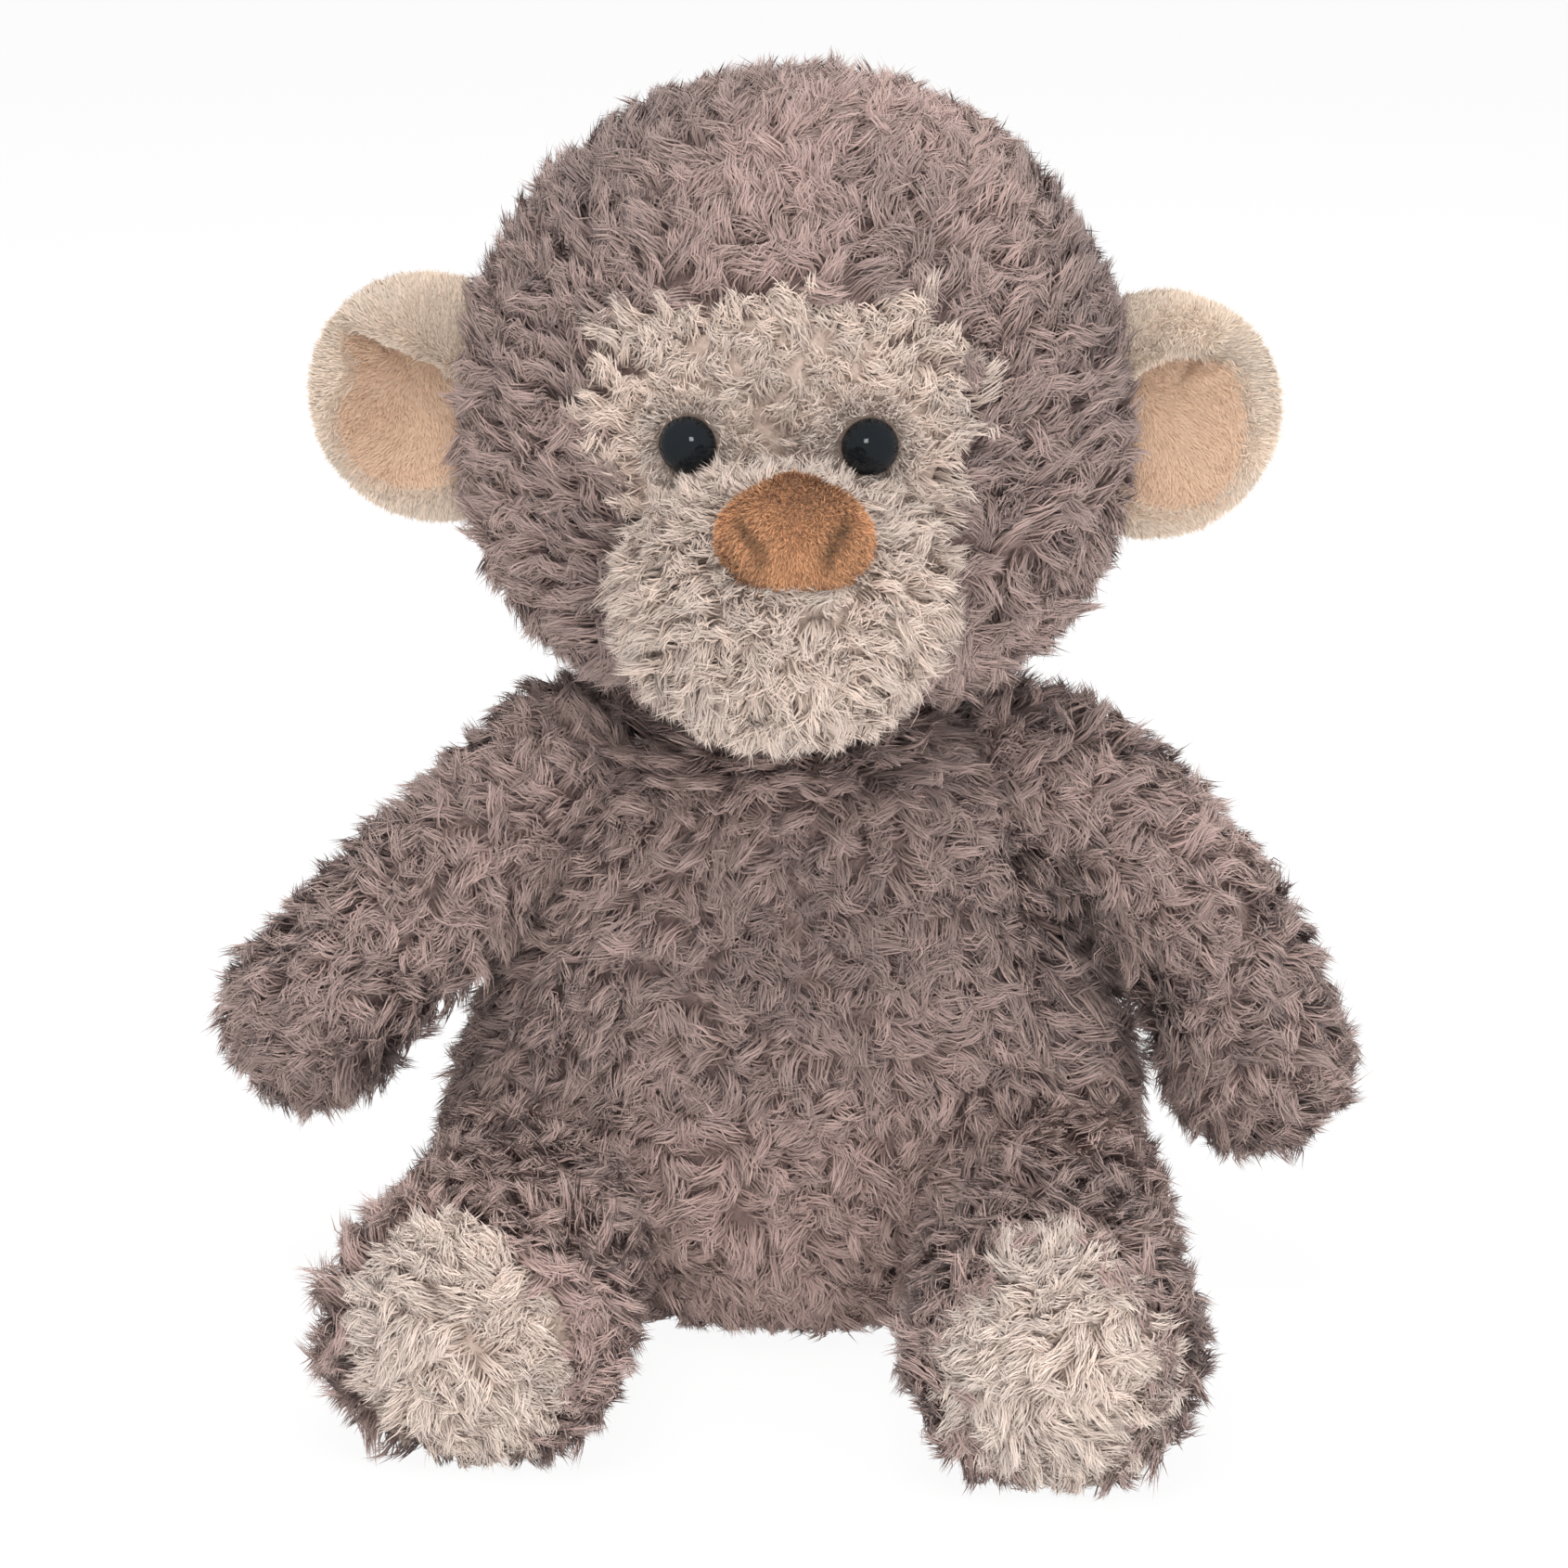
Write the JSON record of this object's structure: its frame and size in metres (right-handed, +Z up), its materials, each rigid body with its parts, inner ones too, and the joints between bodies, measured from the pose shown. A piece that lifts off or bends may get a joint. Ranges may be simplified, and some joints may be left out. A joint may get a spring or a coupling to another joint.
{
  "type": "plush monkey",
  "caption": "Seated stuffed toy monkey of curly plush, with cupped ears, a padded nose, glossy eyes and pale soles.",
  "frame": {"origin": "middle of the flat seat, where the toy's underside meets the floor", "axes": "+Z up, -Y the way the face looks, +X towards the toy's own left"},
  "size_m": [0.249, 0.181, 0.277],
  "materials": {
    "brown_plush": "long curly greyish-brown plush",
    "pale_plush": "long curly pale beige plush",
    "cream_minky": "short velvety cream pile",
    "peach_minky": "short velvety peach pile",
    "nose_cloth": "short brown pile",
    "stuffing": "white polyester fibre fill",
    "eye": "glossy black",
    "washer": "matte white"
  },
  "bodies": {
    "torso": {"torso_cover_front": "brown_plush", "torso_cover_back": "brown_plush", "torso_stuffing": "stuffing"},
    "neck": {"neck_stuffing": "stuffing"},
    "head": {"head_cover": "brown_plush", "face_panel": "pale_plush", "muzzle_cover": "pale_plush", "head_stuffing": "stuffing", "nose_cover": "nose_cloth", "nose_stuffing": "stuffing", "left_eye": "eye", "right_eye": "eye", "left_eye_washer": "washer", "right_eye_washer": "washer"},
    "left_ear": {"left_ear_back": "cream_minky", "left_ear_front": "peach_minky"},
    "right_ear": {"right_ear_back": "cream_minky", "right_ear_front": "peach_minky"},
    "left_arm": {"left_arm_cover": "brown_plush", "left_arm_stuffing": "stuffing"},
    "right_arm": {"right_arm_cover": "brown_plush", "right_arm_stuffing": "stuffing"},
    "left_leg": {"left_leg_cover": "brown_plush", "left_sole": "pale_plush", "left_leg_stuffing": "stuffing"},
    "right_leg": {"right_leg_cover": "brown_plush", "right_sole": "pale_plush", "right_leg_stuffing": "stuffing"}
  },
  "joints": [
    {"name": "head_turn", "type": "hinge", "parent": "torso", "child": "neck", "pos_m": [0, 0, 0.15], "axis": [0, 0, 1], "range_deg": [-30, 30], "stiffness_Nm_per_rad": 0.3},
    {"name": "head_nod", "type": "hinge", "parent": "neck", "child": "head", "pos_m": [0, 0, 0.15], "axis": [1, 0, 0], "range_deg": [-8, 10], "stiffness_Nm_per_rad": 1.2},
    {"name": "left_ear_fold", "type": "hinge", "parent": "head", "child": "left_ear", "pos_m": [0.0708, 0.006, 0.202], "axis": [0, 0, -1], "range_deg": [-25, 25], "stiffness_Nm_per_rad": 0.01},
    {"name": "right_ear_fold", "type": "hinge", "parent": "head", "child": "right_ear", "pos_m": [-0.0708, 0.006, 0.206], "axis": [0, 0, 1], "range_deg": [-25, 25], "stiffness_Nm_per_rad": 0.01},
    {"name": "left_arm_raise", "type": "hinge", "parent": "torso", "child": "left_arm", "pos_m": [0.049, -0.001, 0.12], "axis": [0, -1, 0], "range_deg": [0, 60]},
    {"name": "right_arm_raise", "type": "hinge", "parent": "torso", "child": "right_arm", "pos_m": [-0.049, -0.001, 0.12], "axis": [0, 1, 0], "range_deg": [0, 60]},
    {"name": "left_leg_lift", "type": "hinge", "parent": "torso", "child": "left_leg", "pos_m": [0.055, -0.027, 0.028], "axis": [-1, 0, 0], "range_deg": [0, 30]},
    {"name": "right_leg_lift", "type": "hinge", "parent": "torso", "child": "right_leg", "pos_m": [-0.055, -0.016, 0.028], "axis": [-1, 0, 0], "range_deg": [0, 30]}
  ]
}
